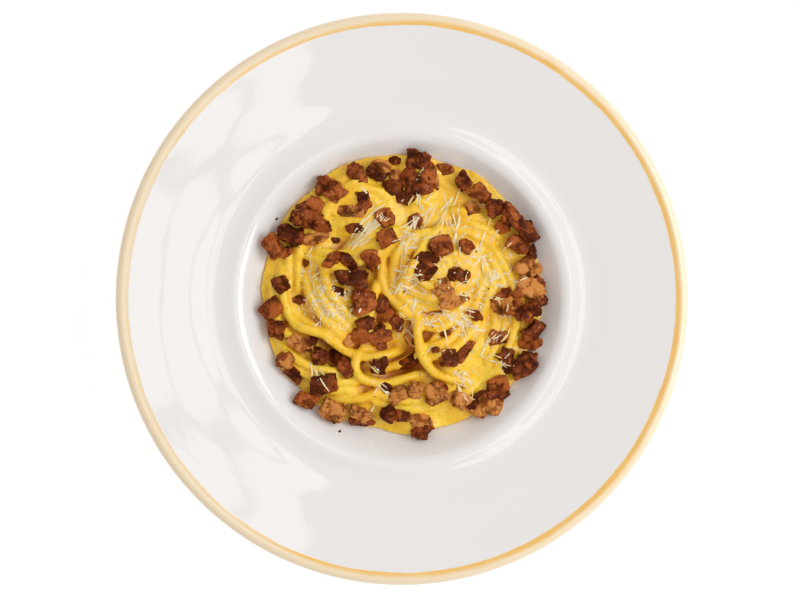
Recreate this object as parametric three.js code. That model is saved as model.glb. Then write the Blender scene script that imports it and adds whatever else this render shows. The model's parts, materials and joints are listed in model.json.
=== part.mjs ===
// Spaghetti carbonara in its wide-rimmed pasta plate: the plate, the mound of sauced
// spaghetti that fills its well, and the fried guanciale lying on the mound.
// Millimetres, +Z up. The origin is the middle of the foot ring, on the table.

import * as THREE from 'three';

// Driving dimensions

const FACETS = 60;              // around the plate and the mound alike, so that they nest
const CLEARANCE = 0.4;          // kept between pieces that touch

const PLATE_RADIUS = 135;       // outside of the rounded edge
const PLATE_HEIGHT = 38;        // top of the rounded edge
const EDGE_ROUND = 3.2;         // radius of the rounded edge
const RIM_THICKNESS = 5;
const LIP_RADIUS = 80;          // where the well turns into the rim
const LIP_HEIGHT = 30;
const LIP_ROUND = 8;
const LIP_TURN = 133;           // degrees round the lip where it runs over into the well's wall
const WELL_FLOOR_RADIUS = 34;   // flat middle of the well
const WELL_FLOOR_HEIGHT = 9;
const FOOT_INSIDE = 44;
const FOOT_OUTSIDE = 50;
const FOOT_DEPTH = 3.5;         // hollow under the plate, inside the foot ring

const MOUND_RADIUS = 68;        // mean radius of the uneven outline
const MOUND_SHIFT = 2.2;        // the food lies this far towards +Y
const MOUND_CROWN = 28;         // height of the dome's middle, without the nests
const MOUND_RINGS = 19;
const MOUND_FLOOR_RINGS = 6;

// Twirled nests stand proud of the dome, and hollows open between them.
const nests = [
  { at: [-34, 2], radius: 18, lift: 7 },
  { at: [13, 13], radius: 26, lift: 5 },
  { at: [-22, 40], radius: 15, lift: 3 },
  { at: [24, -22], radius: 22, lift: 2.5 },
];
const hollows = [
  { at: [-50, 14], radius: 11, lift: -4.5 },
  { at: [-28, 25], radius: 11, lift: -3.5 },
  { at: [-30, -24], radius: 10, lift: -3.5 },
  { at: [-1, -30], radius: 12, lift: -4.5 },
  { at: [42, -34], radius: 10, lift: -1.5 },
];

// Bundles of strands lie as raised arcs: centre, radius, degrees from and to, width, lift.
const sweeps = [
  { at: [-35, 2], radius: 20, from: 165, to: 285, width: 9, lift: 2.5 },
  { at: [-12, 4], radius: 31, from: 225, to: 290, width: 9, lift: 2.5 },
  { at: [-30, 0], radius: 39, from: 225, to: 300, width: 9, lift: 2 },
  { at: [2, 6], radius: 46, from: 262, to: 305, width: 8, lift: 2 },
  { at: [0, 2], radius: 57, from: 232, to: 300, width: 10, lift: 2 },
  { at: [20, -6], radius: 46, from: 50, to: 105, width: 10, lift: 2 },
  { at: [0, 2], radius: 58, from: 95, to: 190, width: 10, lift: 1.5 },
  { at: [0, 2], radius: 60, from: -50, to: 60, width: 10, lift: 1.5 },
];

// Guanciale: the middle of each piece, its length and width, its turn in degrees and its tone.
// The order is the order in which they fell, so a later piece leans on the earlier ones.
const guanciale = [
  { at: [-34.5, 54], size: [14, 9.5], turn: -15, tone: 'brown' },
  { at: [-41.5, 46], size: [11, 6], turn: -30, tone: 'red' },
  { at: [-44, 40.5], size: [17, 7.5], turn: -5, tone: 'dark' },
  { at: [-53, 32.5], size: [14, 7.5], turn: -20, tone: 'dark' },
  { at: [-58.5, 27], size: [12, 9], turn: -65, tone: 'red' },
  { at: [-21, 58.5], size: [11.5, 7], turn: -65, tone: 'brown' },
  { at: [-12, 59.5], size: [9.5, 8], turn: -40, tone: 'dark' },
  { at: [7.5, 54], size: [13.5, 9.5], turn: 10, tone: 'dark' },
  { at: [6, 63.5], size: [14, 11], turn: -20, tone: 'dark' },
  { at: [-18, 46.5], size: [10, 6.5], turn: -75, tone: 'dark' },
  { at: [-7, 28.5], size: [10, 8], turn: 20, tone: 'red' },
  { at: [-9, 37], size: [9.5, 8], turn: -60, tone: 'brown' },
  { at: [18, 24], size: [11.5, 10], turn: 15, tone: 'brown' },
  { at: [28, 22.5], size: [8, 7], turn: -35, tone: 'red' },
  { at: [11, 14], size: [11, 9], turn: 45, tone: 'dark' },
  { at: [27.5, 11], size: [9.5, 6.5], turn: -30, tone: 'dark' },
  { at: [19.5, 4], size: [13, 8.5], turn: -70, tone: 'amber' },
  { at: [29.5, 55], size: [9.5, 7.5], turn: 40, tone: 'dark' },
  { at: [35, 49.5], size: [11, 7], turn: -30, tone: 'red' },
  { at: [41.5, 45.5], size: [8.5, 8], turn: 0, tone: 'dark' },
  { at: [48, 43], size: [10.5, 6], turn: -60, tone: 'dark' },
  { at: [55, 26], size: [10.5, 7.5], turn: -20, tone: 'red' },
  { at: [57.5, 31.5], size: [13, 8], turn: -50, tone: 'dark' },
  { at: [58.5, 16], size: [10.5, 7.5], turn: 15, tone: 'amber' },
  { at: [60.5, 6.5], size: [15, 9.5], turn: -35, tone: 'amber' },
  { at: [48, 0], size: [10.5, 7.5], turn: 35, tone: 'red' },
  { at: [63, -2.5], size: [8.5, 8], turn: 20, tone: 'dark' },
  { at: [57.5, -4], size: [10.5, 7], turn: -55, tone: 'dark' },
  { at: [64, -15.5], size: [12, 7.5], turn: 50, tone: 'dark' },
  { at: [46, -18.5], size: [10.5, 6], turn: 8, tone: 'brown' },
  { at: [22.5, -27], size: [9.5, 9], turn: 5, tone: 'dark' },
  { at: [59, -30.5], size: [13, 10.5], turn: 35, tone: 'dark' },
  { at: [49.5, -27], size: [8, 7], turn: 60, tone: 'dark' },
  { at: [46, -41], size: [9.5, 8.5], turn: 25, tone: 'brown' },
  { at: [39, -52], size: [11, 9.5], turn: 40, tone: 'amber' },
  { at: [28, -50], size: [10.5, 7.5], turn: -25, tone: 'amber' },
  { at: [-12, -32], size: [8, 7], turn: -15, tone: 'dark' },
  { at: [6, -44.5], size: [9.5, 8], turn: 70, tone: 'amber' },
  { at: [14, -44], size: [10.5, 10], turn: 20, tone: 'amber' },
  { at: [-3, -55], size: [14, 5], turn: -10, tone: 'dark' },
  { at: [11, -64.5], size: [8, 7.5], turn: -15, tone: 'dark' },
  { at: [-20.5, -54], size: [11, 6.5], turn: -35, tone: 'amber' },
  { at: [-54.5, -30], size: [8.5, 7], turn: 50, tone: 'amber' },
  { at: [-38.5, -40.5], size: [13.5, 10.5], turn: 10, tone: 'dark' },
  { at: [-46, -46.5], size: [11, 7.5], turn: -20, tone: 'red' },
  { at: [-33, -50.5], size: [12, 9.5], turn: -30, tone: 'amber' },
  { at: [-39, -27.5], size: [8, 7.5], turn: 20, tone: 'dark' },
  { at: [-26.5, -33], size: [9.5, 7], turn: -50, tone: 'red' },
  { at: [-59.5, 6.5], size: [8, 8], turn: 30, tone: 'dark' },
  { at: [-62, -3.5], size: [12, 9.5], turn: 40, tone: 'red' },
  { at: [-59, -14], size: [10, 9], turn: 0, tone: 'dark' },
  { at: [-51, -19], size: [12, 7], turn: -35, tone: 'amber' },
  { at: [-24, 9.5], size: [17, 8], turn: 0, tone: 'dark' },
  { at: [-15, 19], size: [10, 7], turn: -50, tone: 'red' },
  { at: [-19, -1.5], size: [13, 12], turn: 10, tone: 'red' },
  { at: [-17, -11.5], size: [8.5, 7.5], turn: 25, tone: 'dark' },
  { at: [-2.5, -11.5], size: [8, 7], turn: -20, tone: 'brown' },
];
const GUANCIALE_BEVEL = 0.5;
const GUANCIALE_CORNERS = [4, 6];
const GUANCIALE_MARGIN = 1.07;  // a leaning piece looks shorter from above, so each is cut larger
const GUANCIALE_THIN = 2.6;     // least and greatest thickness
const GUANCIALE_THICK = 4.4;
const GUANCIALE_SLIDE = 2.2;    // how far a piece slides to lie lower
const STEEPEST_LEAN = 35;       // degrees that a piece may lean

const FULL_TURN = 2 * Math.PI;
const radians = THREE.MathUtils.degToRad;

// A repeatable random number between low and high.
let seed = 7;
function between(low, high) {
  seed = (seed * 16807) % 2147483647;
  return low + ((high - low) * seed) / 2147483647;
}

// Points of an arc in the plate's section, from one angle to another in degrees.
function arc(centreR, centreZ, radius, from, to, steps) {
  const points = [];
  for (let i = 0; i <= steps; i += 1) {
    const angle = radians(from + ((to - from) * i) / steps);
    points.push(new THREE.Vector2(centreR + radius * Math.cos(angle), centreZ + radius * Math.sin(angle)));
  }
  return points;
}

// Plate

// Points of a curve that leaves its first end slowly and gets steeper, by a power of the way along.
function risingCurve(from, to, power, steps) {
  const points = [];
  for (let i = 0; i <= steps; i += 1) {
    const part = i / steps;
    const r = THREE.MathUtils.lerp(from[0], to[0], part);
    points.push(new THREE.Vector2(r, THREE.MathUtils.lerp(from[1], to[1], part ** power)));
  }
  return points;
}

const lip = arc(LIP_RADIUS, LIP_HEIGHT - LIP_ROUND, LIP_ROUND, 80, LIP_TURN, 4);
const wellEdge = lip.at(-1);
const wellWall = risingCurve([WELL_FLOOR_RADIUS, WELL_FLOOR_HEIGHT], [wellEdge.x, wellEdge.y], 2, 9);

function plateSection() {
  const edgeR = PLATE_RADIUS - EDGE_ROUND;
  const edgeZ = PLATE_HEIGHT - EDGE_ROUND;
  const bodyTop = LIP_HEIGHT - RIM_THICKNESS;
  const dip = 0.5;              // the rim starts a little below the lip's bead
  const foot = [
    new THREE.Vector2(0, FOOT_DEPTH),
    new THREE.Vector2(FOOT_INSIDE - 2, FOOT_DEPTH),
    new THREE.Vector2(FOOT_INSIDE, 0),
    new THREE.Vector2(FOOT_OUTSIDE, 0),
  ];
  const outside = risingCurve([FOOT_OUTSIDE + 1, FOOT_DEPTH - 1], [LIP_RADIUS + 4, bodyTop - 1], 1.1, 5);
  const underRim = [new THREE.Vector2(LIP_RADIUS + 9, bodyTop + 0.6)];
  const edge = arc(edgeR, edgeZ, EDGE_ROUND, -110, 120, 7);
  const rim = [
    new THREE.Vector2(115, LIP_HEIGHT + 4.3),
    new THREE.Vector2(100, LIP_HEIGHT + 1.6),
    new THREE.Vector2(LIP_RADIUS + 8, LIP_HEIGHT - dip),
  ];
  const well = [...wellWall].reverse().slice(1);
  const middle = [new THREE.Vector2(0, WELL_FLOOR_HEIGHT)];
  return [...foot, ...outside, ...underRim, ...edge, ...rim, ...lip, ...well, ...middle];
}

function makePlate() {
  const geometry = new THREE.LatheGeometry(plateSection(), FACETS);
  geometry.rotateX(Math.PI / 2);
  return geometry;
}

// Height of the well's inside at a distance from the axis, along the same straight facets.
function wellHeight(r) {
  if (r <= WELL_FLOOR_RADIUS) {
    return WELL_FLOOR_HEIGHT;
  }
  const outer = wellWall.findIndex((point) => point.x >= r);
  const inner = wellWall[outer - 1];
  const part = (r - inner.x) / (wellWall[outer].x - inner.x);
  return inner.y + part * (wellWall[outer].y - inner.y);
}

// Mound

// Distance from the axis to the mound's outline: scallops of single strands, and one notch.
function outline(angle) {
  const scallops = 0.7 * Math.sin(7 * angle + 1)
    + 0.5 * Math.sin(12 * angle + 2.5)
    + 0.35 * Math.sin(19 * angle);
  const fromNotch = Math.cos(angle - radians(-100));
  const notch = 2.4 * Math.max(0, fromNotch) ** 120;
  return MOUND_RADIUS + MOUND_SHIFT * Math.sin(angle) + scallops - notch;
}

// A round lump, 1 in its middle and 0 at its radius.
function lump(x, y, { at, radius }) {
  const part = Math.min(1, Math.hypot(x - at[0], y - at[1]) / radius);
  return (1 - part ** 2.5) ** 2;
}

// A raised arc, 1 along its middle line and 0 at its sides and beyond its ends.
function ridge(x, y, { at, radius, from, to, width }) {
  const middle = radians((from + to) / 2);
  const half = radians((to - from) / 2);
  const turn = Math.atan2(y - at[1], x - at[0]) - middle;
  const away = Math.abs(Math.atan2(Math.sin(turn), Math.cos(turn)));
  const ends = THREE.MathUtils.clamp(((half - away) * radius) / width + 0.5, 0, 1);
  const side = Math.min(1, Math.abs(Math.hypot(x - at[0], y - at[1]) - radius) / (width / 2));
  return ends * Math.cos((side * Math.PI) / 2);
}

function moundHeight(x, y) {
  const r = Math.hypot(x, y);
  const edge = outline(Math.atan2(y, x));
  const part = Math.min(1, r / edge);
  const foot = wellHeight(edge) + CLEARANCE;
  const dome = (1 - part ** 2.4) ** 0.8;
  const relief = [...nests, ...hollows].reduce((sum, each) => sum + each.lift * lump(x, y, each), 0)
    + sweeps.reduce((sum, each) => sum + each.lift * ridge(x, y, each), 0);
  return foot + (MOUND_CROWN - foot) * dome + relief * (1 - part ** 8);
}

// The mound is a pole and rings on top, and rings and a pole underneath that follow the well.
function makeMound() {
  const points = [];
  const faces = [];
  const addRing = (part, heightAt) => {
    const start = points.length;
    for (let i = 0; i < FACETS; i += 1) {
      const angle = (FULL_TURN * i) / FACETS;
      const r = outline(angle) * part;
      points.push([r * Math.cos(angle), r * Math.sin(angle), heightAt(r, angle)]);
    }
    return start;
  };
  const joinRings = (first, second) => {
    for (let i = 0; i < FACETS; i += 1) {
      const next = (i + 1) % FACETS;
      faces.push([first + i, second + i, second + next], [first + i, second + next, first + next]);
    }
  };
  points.push([0, 0, moundHeight(0, 0)]);
  let last = 0;
  for (let ring = 1; ring <= MOUND_RINGS; ring += 1) {
    const part = (ring / MOUND_RINGS) ** 0.9;
    const start = addRing(part, (r, angle) => moundHeight(r * Math.cos(angle), r * Math.sin(angle)));
    if (ring === 1) {
      for (let i = 0; i < FACETS; i += 1) {
        faces.push([0, start + i, start + ((i + 1) % FACETS)]);
      }
    } else {
      joinRings(last, start);
    }
    last = start;
  }
  for (let ring = MOUND_FLOOR_RINGS - 1; ring > 0; ring -= 1) {
    const start = addRing(0.5 + (0.5 * ring) / MOUND_FLOOR_RINGS, (r) => wellHeight(r) + CLEARANCE);
    joinRings(last, start);
    last = start;
  }
  const pole = points.push([0, 0, WELL_FLOOR_HEIGHT + CLEARANCE]) - 1;
  for (let i = 0; i < FACETS; i += 1) {
    faces.push([pole, last + ((i + 1) % FACETS), last + i]);
  }
  const geometry = new THREE.BufferGeometry();
  geometry.setAttribute('position', new THREE.Float32BufferAttribute(points.flat(), 3));
  geometry.setIndex(faces.flat());
  return geometry;
}

// Height map of what lies in the well so far, on a square grid

const GRID_HALF = 80;
const GRID_STEP = 0.5;
const GRID_SIDE = Math.round((2 * GRID_HALF) / GRID_STEP) + 1;
const grid = new Float64Array(GRID_SIDE * GRID_SIDE);

// Calls visit with the place and index of each grid point in a box around a point.
function eachGridPoint(x, y, reach, visit) {
  const low = (value) => Math.max(0, Math.ceil((value - reach + GRID_HALF) / GRID_STEP));
  const high = (value) => Math.min(GRID_SIDE - 1, Math.floor((value + reach + GRID_HALF) / GRID_STEP));
  for (let row = low(y); row <= high(y); row += 1) {
    for (let column = low(x); column <= high(x); column += 1) {
      visit(column * GRID_STEP - GRID_HALF, row * GRID_STEP - GRID_HALF, row * GRID_SIDE + column);
    }
  }
}

function layWell() {
  eachGridPoint(0, 0, GRID_HALF, (x, y, index) => {
    const r = Math.min(Math.hypot(x, y), wellEdge.x);
    grid[index] = wellHeight(r);
  });
}

// Calls visit with the index of each grid point under a mesh's triangles, and the height there.
function eachCovered(geometry, visit) {
  const position = (geometry.index ? geometry.toNonIndexed() : geometry).getAttribute('position');
  const solid = new THREE.Triangle();
  const spot = new THREE.Vector3();
  for (let i = 0; i < position.count; i += 3) {
    solid.setFromAttributeAndIndices(position, i, i + 1, i + 2);
    const corners = [solid.a, solid.b, solid.c];
    const flat = new THREE.Triangle(...corners.map((corner) => corner.clone().setZ(0)));
    const middle = flat.getMidpoint(new THREE.Vector3());
    const reach = Math.max(flat.a.distanceTo(middle), flat.b.distanceTo(middle), flat.c.distanceTo(middle));
    eachGridPoint(middle.x, middle.y, reach, (x, y, index) => {
      const share = flat.getBarycoord(spot.set(x, y, 0), new THREE.Vector3());
      if (share && Math.min(share.x, share.y, share.z) > -1e-6) {
        visit(index, share.x * solid.a.z + share.y * solid.b.z + share.z * solid.c.z);
      }
    });
  }
}

function layMesh(geometry) {
  eachCovered(geometry, (index, height) => {
    grid[index] = Math.max(grid[index], height);
  });
}

// The highest of the map's values at a grid point and its eight neighbours.
function highestNear(index) {
  const rows = [index - GRID_SIDE, index, index + GRID_SIDE];
  return Math.max(...rows.flatMap((middle) => [grid[middle - 1], grid[middle], grid[middle + 1]]));
}

// Guanciale

// An irregular chip: a bevelled prism whose far face is smaller and not quite parallel.
function makeChip(long, wide, thick) {
  const shape = new THREE.Shape();
  const [fewest, most] = GUANCIALE_CORNERS;
  const corners = Math.floor(between(fewest, most + 1));
  for (let i = 0; i < corners; i += 1) {
    const angle = (FULL_TURN * (i + 0.5 + between(-0.22, 0.22))) / corners;
    const boxiness = 0.45;
    const x = Math.sign(Math.cos(angle)) * Math.abs(Math.cos(angle)) ** boxiness;
    const y = Math.sign(Math.sin(angle)) * Math.abs(Math.sin(angle)) ** boxiness;
    const reach = between(0.78, 1.06);
    const corner = [x * reach * (long / 2 - GUANCIALE_BEVEL), y * reach * (wide / 2 - GUANCIALE_BEVEL)];
    if (i === 0) {
      shape.moveTo(...corner);
    } else {
      shape.lineTo(...corner);
    }
  }
  const geometry = new THREE.ExtrudeGeometry(shape, {
    depth: thick - 2 * GUANCIALE_BEVEL,
    bevelThickness: GUANCIALE_BEVEL,
    bevelSize: GUANCIALE_BEVEL,
    bevelSegments: 1,
  });
  geometry.translate(0, 0, GUANCIALE_BEVEL);
  const taper = between(0.04, 0.14);
  const slope = [between(-0.12, 0.12), between(-0.12, 0.12)];
  const position = geometry.getAttribute('position');
  for (let i = 0; i < position.count; i += 1) {
    const up = position.getZ(i) / thick;
    const x = position.getX(i) * (1 - taper * up);
    const y = position.getY(i) * (1 - taper * up);
    position.setXYZ(i, x, y, position.getZ(i) + up * (slope[0] * x + slope[1] * y));
  }
  return geometry;
}

// The plane that fits the height map best under a round patch, as slopes along X and Y.
function fitSlopes(x, y, reach) {
  let [count, sumXX, sumYY, sumXZ, sumYZ, sumZ] = [0, 0, 0, 0, 0, 0];
  eachGridPoint(x, y, reach, (gridX, gridY, index) => {
    count += 1;
    sumXX += (gridX - x) ** 2;
    sumYY += (gridY - y) ** 2;
    sumXZ += (gridX - x) * grid[index];
    sumYZ += (gridY - y) * grid[index];
    sumZ += grid[index];
  });
  const limit = Math.tan(radians(STEEPEST_LEAN));
  const slopes = new THREE.Vector2(sumXZ / sumXX, sumYZ / sumYY);
  return slopes.clampLength(0, limit);
}

// Leans a chip with the surface at a spot and lowers it until it touches what is there already.
function leanChip(mesh, x, y, { size, turn }) {
  const upright = new THREE.Vector3(0, 0, 1);
  const slopes = fitSlopes(x, y, (size[0] + size[1]) / 4);
  const up = new THREE.Vector3(-slopes.x, -slopes.y, 1).normalize();
  mesh.quaternion.setFromUnitVectors(upright, up);
  mesh.quaternion.multiply(new THREE.Quaternion().setFromAxisAngle(upright, radians(turn)));
  mesh.position.set(x, y, 0);
  mesh.updateMatrixWorld();
  const underside = new Map();
  eachCovered(mesh.geometry.clone().applyMatrix4(mesh.matrixWorld), (index, height) => {
    underside.set(index, Math.min(height, underside.get(index) ?? Infinity));
  });
  const lifts = [...underside].map(([index, height]) => highestNear(index) - height);
  mesh.position.z = Math.max(...lifts) + CLEARANCE;
  return mesh.position.z - moundHeight(x, y);
}

// A chip slides to the lowest of the spots around its place, and stays there.
function layChip(mesh, piece) {
  const spots = [{ x: piece.at[0], y: piece.at[1] }];
  for (const slide of [GUANCIALE_SLIDE / 2, GUANCIALE_SLIDE]) {
    for (let turn = 0; turn < 360; turn += 45) {
      const angle = radians(turn);
      spots.push({ x: piece.at[0] + slide * Math.cos(angle), y: piece.at[1] + slide * Math.sin(angle) });
    }
  }
  spots.forEach((spot) => {
    spot.height = leanChip(mesh, spot.x, spot.y, piece);
  });
  const lowest = spots.reduce((best, spot) => (spot.height < best.height ? spot : best));
  leanChip(mesh, lowest.x, lowest.y, piece);
  mesh.updateMatrixWorld();
  layMesh(mesh.geometry.clone().applyMatrix4(mesh.matrixWorld));
}

// Materials

const ceramic = new THREE.MeshStandardMaterial({ color: 0xf0eeec, roughness: 0.15, metalness: 0 });
const pasta = new THREE.MeshStandardMaterial({ color: 0xe8b936, roughness: 0.4, metalness: 0 });
const tones = {
  dark: new THREE.MeshStandardMaterial({ color: 0x4a2114, roughness: 0.45, metalness: 0 }),
  brown: new THREE.MeshStandardMaterial({ color: 0x6e341b, roughness: 0.45, metalness: 0 }),
  red: new THREE.MeshStandardMaterial({ color: 0x8a4423, roughness: 0.45, metalness: 0 }),
  amber: new THREE.MeshStandardMaterial({ color: 0xb66a30, roughness: 0.45, metalness: 0 }),
};

// The whole dish

function named(name, geometry, material) {
  const mesh = new THREE.Mesh(geometry, material);
  mesh.name = name;
  return mesh;
}

const dish = new THREE.Group();
dish.add(named('plate', makePlate(), ceramic));
const mound = named('spaghetti', makeMound(), pasta);
dish.add(mound);

layWell();
layMesh(mound.geometry);
guanciale.forEach((piece, index) => {
  const [long, wide] = piece.size.map((side) => side * GUANCIALE_MARGIN);
  const thick = THREE.MathUtils.clamp(0.42 * wide, GUANCIALE_THIN, GUANCIALE_THICK);
  const name = `guanciale_${String(index + 1).padStart(2, '0')}`;
  const mesh = named(name, makeChip(long, wide, thick), tones[piece.tone]);
  layChip(mesh, piece);
  dish.add(mesh);
});

export default dish;
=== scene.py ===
import json
import math
import random

import bpy
import numpy as np
from mathutils import Matrix, Vector, noise
from mathutils.bvhtree import BVHTree


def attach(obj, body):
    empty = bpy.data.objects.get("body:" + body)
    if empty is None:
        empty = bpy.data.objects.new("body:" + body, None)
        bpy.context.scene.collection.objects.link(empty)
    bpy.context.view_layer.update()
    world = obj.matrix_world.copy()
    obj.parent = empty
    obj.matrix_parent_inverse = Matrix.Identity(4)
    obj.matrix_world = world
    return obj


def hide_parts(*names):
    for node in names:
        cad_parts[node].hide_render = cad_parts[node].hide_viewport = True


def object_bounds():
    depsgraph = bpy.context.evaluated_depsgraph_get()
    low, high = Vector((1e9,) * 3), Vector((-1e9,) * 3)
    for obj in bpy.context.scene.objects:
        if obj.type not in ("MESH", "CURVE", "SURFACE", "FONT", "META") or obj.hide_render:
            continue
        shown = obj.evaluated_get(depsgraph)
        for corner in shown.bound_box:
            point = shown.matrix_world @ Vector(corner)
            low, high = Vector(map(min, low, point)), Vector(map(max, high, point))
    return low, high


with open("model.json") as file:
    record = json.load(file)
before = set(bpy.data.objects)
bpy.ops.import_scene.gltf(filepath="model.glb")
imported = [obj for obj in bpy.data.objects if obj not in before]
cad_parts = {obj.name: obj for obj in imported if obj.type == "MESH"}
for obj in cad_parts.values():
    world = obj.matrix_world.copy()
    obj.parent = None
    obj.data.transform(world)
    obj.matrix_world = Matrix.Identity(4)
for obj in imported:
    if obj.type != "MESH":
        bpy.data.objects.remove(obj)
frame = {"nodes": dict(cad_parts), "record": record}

mm = 0.001
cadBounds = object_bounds()


# small helpers for objects

def deselectAll():
    if bpy.context.mode != "OBJECT":
        bpy.ops.object.mode_set(mode="OBJECT")
    bpy.ops.object.select_all(action="DESELECT")


def makeActive(obj):
    deselectAll()
    obj.select_set(True)
    bpy.context.view_layer.objects.active = obj


def newObject(name, data):
    obj = bpy.data.objects.new(name, data)
    bpy.context.scene.collection.objects.link(obj)
    return obj


def copyNode(name, newName):
    deselectAll()
    obj = newObject(newName, frame["nodes"][name].data.copy())
    obj.data.materials.clear()
    makeActive(obj)
    bpy.ops.object.mode_set(mode="EDIT")
    bpy.ops.mesh.select_all(action="SELECT")
    bpy.ops.mesh.remove_doubles(threshold=0.02 * mm)
    bpy.ops.object.mode_set(mode="OBJECT")
    return obj


def applyModifier(obj, kind, **settings):
    makeActive(obj)
    modifier = obj.modifiers.new(kind.title(), kind)
    for key, value in settings.items():
        setattr(modifier, key, value)
    bpy.ops.object.modifier_apply(modifier=modifier.name)


def smoothShade(obj, angle=None):
    makeActive(obj)
    if angle is None:
        bpy.ops.object.shade_smooth()
    else:
        bpy.ops.object.shade_smooth_by_angle(angle=math.radians(angle))


def getVertices(obj):
    values = np.empty(len(obj.data.vertices) * 3)
    obj.data.vertices.foreach_get("co", values)
    return values.reshape(-1, 3)


def setVertices(obj, values):
    obj.data.vertices.foreach_set("co", values.reshape(-1))
    obj.data.update()


def setAttribute(obj, name, values):       # a number for each point, which a material reads
    attribute = obj.data.attributes.new(name, "FLOAT", "POINT")
    attribute.data.foreach_set("value", values.astype(np.float32))


def newScatter(name, shapes, faces, shades):       # many small pieces in one mesh, each with its own shade
    count = len(shapes[0])
    rows = [faces + count * i for i in range(len(shapes))]
    mesh = bpy.data.meshes.new(name)
    mesh.from_pydata((np.concatenate(shapes) * mm).tolist(), [], np.concatenate(rows).tolist())
    mesh.update()
    obj = newObject(name, mesh)
    setAttribute(obj, "shade", np.repeat(shades, count))
    return obj


def joinObjects(objects, name):
    deselectAll()
    for obj in objects:
        obj.select_set(True)
    bpy.context.view_layer.objects.active = objects[0]
    bpy.ops.object.join()
    joined = bpy.context.view_layer.objects.active
    joined.name = name
    joined.data.name = name
    return joined


def surfaceOf(objects):
    points, faces = [], []
    for obj in objects:
        start = len(points)
        points += [vertex.co.copy() for vertex in obj.data.vertices]
        faces += [tuple(start + i for i in face.vertices) for face in obj.data.polygons]
    return BVHTree.FromPolygons(points, faces)


# shader maths as expressions

class Socket:
    def __init__(self, tree, link):
        self.tree = tree
        self.link = link

    def node(self, kind, settings=None, inputs=None, output=0):
        made = self.tree.nodes.new(kind)
        for key, value in (settings or {}).items():
            setattr(made, key, value)
        for key, value in (inputs or {}).items():
            if isinstance(value, Socket):
                self.tree.links.new(value.link, made.inputs[key])
            else:
                made.inputs[key].default_value = value
        return Socket(self.tree, made.outputs[output])

    def math(self, operation, *values):
        return self.node("ShaderNodeMath", {"operation": operation}, dict(enumerate(values)))

    def __add__(self, other):
        return self.math("ADD", self, other)

    def __radd__(self, other):
        return self.math("ADD", other, self)

    def __sub__(self, other):
        return self.math("SUBTRACT", self, other)

    def __rsub__(self, other):
        return self.math("SUBTRACT", other, self)

    def __mul__(self, other):
        return self.math("MULTIPLY", self, other)

    def __rmul__(self, other):
        return self.math("MULTIPLY", other, self)

    def clamp(self):
        return self.node("ShaderNodeClamp", {}, {"Value": self})

    def step(self, low, high):
        settings = {"interpolation_type": "SMOOTHSTEP"}
        return self.node("ShaderNodeMapRange", settings, {"Value": self, "From Min": low, "From Max": high})

    def noise(self, scale, detail=3, roughness=0.5):
        inputs = {"Vector": self, "Scale": scale, "Detail": detail, "Roughness": roughness}
        return self.node("ShaderNodeTexNoise", {}, inputs)

    def mix(self, factor, first, second):
        inputs = {0: factor, 6: first, 7: second}
        return self.node("ShaderNodeMix", {"data_type": "RGBA"}, inputs, output=2)

    def attribute(self, name):
        return self.node("ShaderNodeAttribute", {"attribute_name": name}, output=2)

    def bump(self, distance, strength=1.0, normal=None):
        inputs = {"Height": self, "Distance": distance, "Strength": strength}
        if normal is not None:
            inputs["Normal"] = normal
        return self.node("ShaderNodeBump", {}, inputs)


def rgba(red, green, blue):
    channels = [value / 255 for value in (red, green, blue)]
    return (*[c / 12.92 if c <= 0.04045 else ((c + 0.055) / 1.055) ** 2.4 for c in channels], 1)


def newMaterial(name, constants):
    material = bpy.data.materials.new(name)
    material.use_nodes = True
    tree = material.node_tree
    shader = tree.nodes["Principled BSDF"]
    for key, value in constants.items():
        shader.inputs[key].default_value = value
    place = Socket(tree, None).node("ShaderNodeTexCoord", output=3)
    return material, shader, place


socketNames = {"colour": "Base Color", "roughness": "Roughness", "normal": "Normal", "coat": "Coat Weight"}


def connect(shader, **links):
    for key, value in links.items():
        value.tree.links.new(value.link, shader.inputs[socketNames[key]])


# camera: straight down, as far away as a person standing over the table

camera = {
    "height": 1.25, "rimHeight": 35 * mm, "sensor": 36, "nudge": (-0.9 * mm, -0.57 * mm),
    "rimShare": 0.7155,       # of the width of the view
}


def makeCamera():
    low, high = cadBounds
    rimRadius = (high[0] - low[0]) / 2
    data = bpy.data.cameras.new("camera")
    data.sensor_width = camera["sensor"]
    away = camera["height"] - camera["rimHeight"]
    data.lens = camera["rimShare"] * away / rimRadius * camera["sensor"] / 2
    obj = newObject("camera", data)
    obj.location = (*camera["nudge"], camera["height"])
    bpy.context.scene.camera = obj


# lights: a large soft window light from the right, a paned skylight over the plate and a warm room

lights = {
    "window": {"at": (1.05, 0.1, 1.1), "size": (1.1, 0.9), "power": 12.0, "colour": (0.94, 0.98, 1.0)},
    "panes": {"columns": (0.15, 0.235, 0.32), "rows": (-0.3, 0.0, 0.3), "height": 1.35, "size": (0.07, 0.27),
              "power": 0.1, "colour": (1, 1, 1)},
    "room": {"colour": (1.0, 0.93, 0.87, 1), "strength": 0.6},
}


def addAreaLight(name, place, values):
    data = bpy.data.lights.new(name, "AREA")
    data.shape = "RECTANGLE"
    data.size, data.size_y = values["size"]
    data.energy = values["power"]
    data.color = values["colour"]
    obj = newObject(name, data)
    obj.location = place
    return obj


def makeLights():
    window = addAreaLight("window", lights["window"]["at"], lights["window"])
    window.rotation_euler = (-window.location).to_track_quat("-Z", "Y").to_euler()
    panes = lights["panes"]
    for column in panes["columns"]:
        for row in panes["rows"]:
            addAreaLight("pane", (column, row, panes["height"]), panes)
    world = bpy.data.worlds.new("studio")
    world.use_nodes = True
    background = world.node_tree.nodes["Background"]
    background.inputs["Color"].default_value = lights["room"]["colour"]
    background.inputs["Strength"].default_value = lights["room"]["strength"]
    bpy.context.scene.world = world
    bpy.context.scene.view_settings.view_transform = "Standard"


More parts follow.
